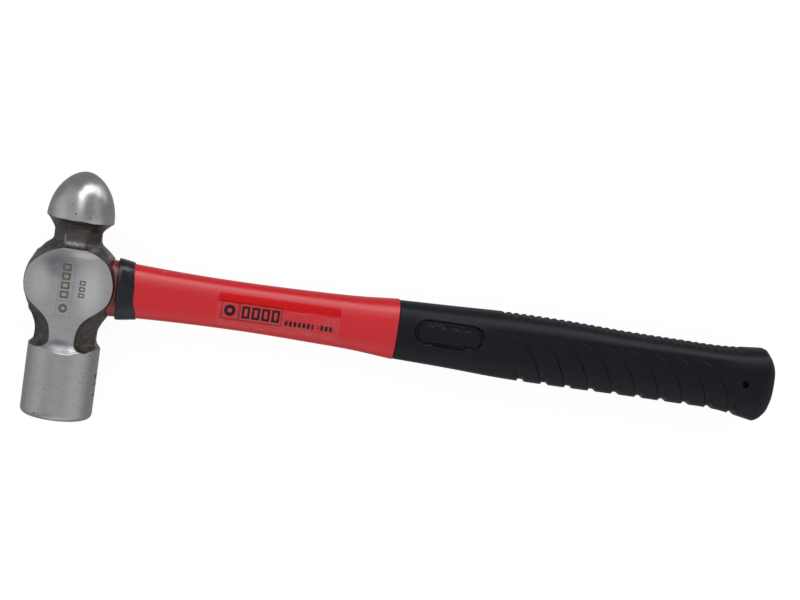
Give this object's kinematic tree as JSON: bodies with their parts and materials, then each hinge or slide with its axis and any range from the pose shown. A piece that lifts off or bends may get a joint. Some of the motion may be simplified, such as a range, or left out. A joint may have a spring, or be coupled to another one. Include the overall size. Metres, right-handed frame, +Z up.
{
  "type": "ball peen hammer",
  "caption": "Ball peen hammer: forged steel head with a round striking face and a domed peen, epoxy-bonded to a fibreglass-cored handle with a ribbed rubber grip.",
  "frame": {"origin": "on the surface that the hammer lies on, under the middle of its outline seen from above", "axes": "+X runs along the handle from the head to the butt, +Y runs along the head from the striking face to the ball, +Z is up, out of the upper cheek"},
  "size_m": [0.326, 0.104, 0.03],
  "materials": {
    "forged_steel": "satin-ground cheeks, poll and ball; dark as-forged neck, waist scoops and rims",
    "epoxy": "cured epoxy, amber to olive",
    "fiberglass": "pultruded glass fibre, cut end",
    "red_jacket": "satin-gloss moulded plastic",
    "collar_rubber": "smooth, slightly shiny",
    "grip_rubber": "fine matte moulded texture",
    "clear_film": "clear adhesive film, blank"
  },
  "bodies": {
    "root": {"hammer_head": "forged_steel", "eye_epoxy": "epoxy", "fiberglass_core": "fiberglass", "handle_jacket": "red_jacket", "head_collar": "collar_rubber", "rubber_grip": "grip_rubber", "handle_label": "clear_film"}
  },
  "joints": []
}
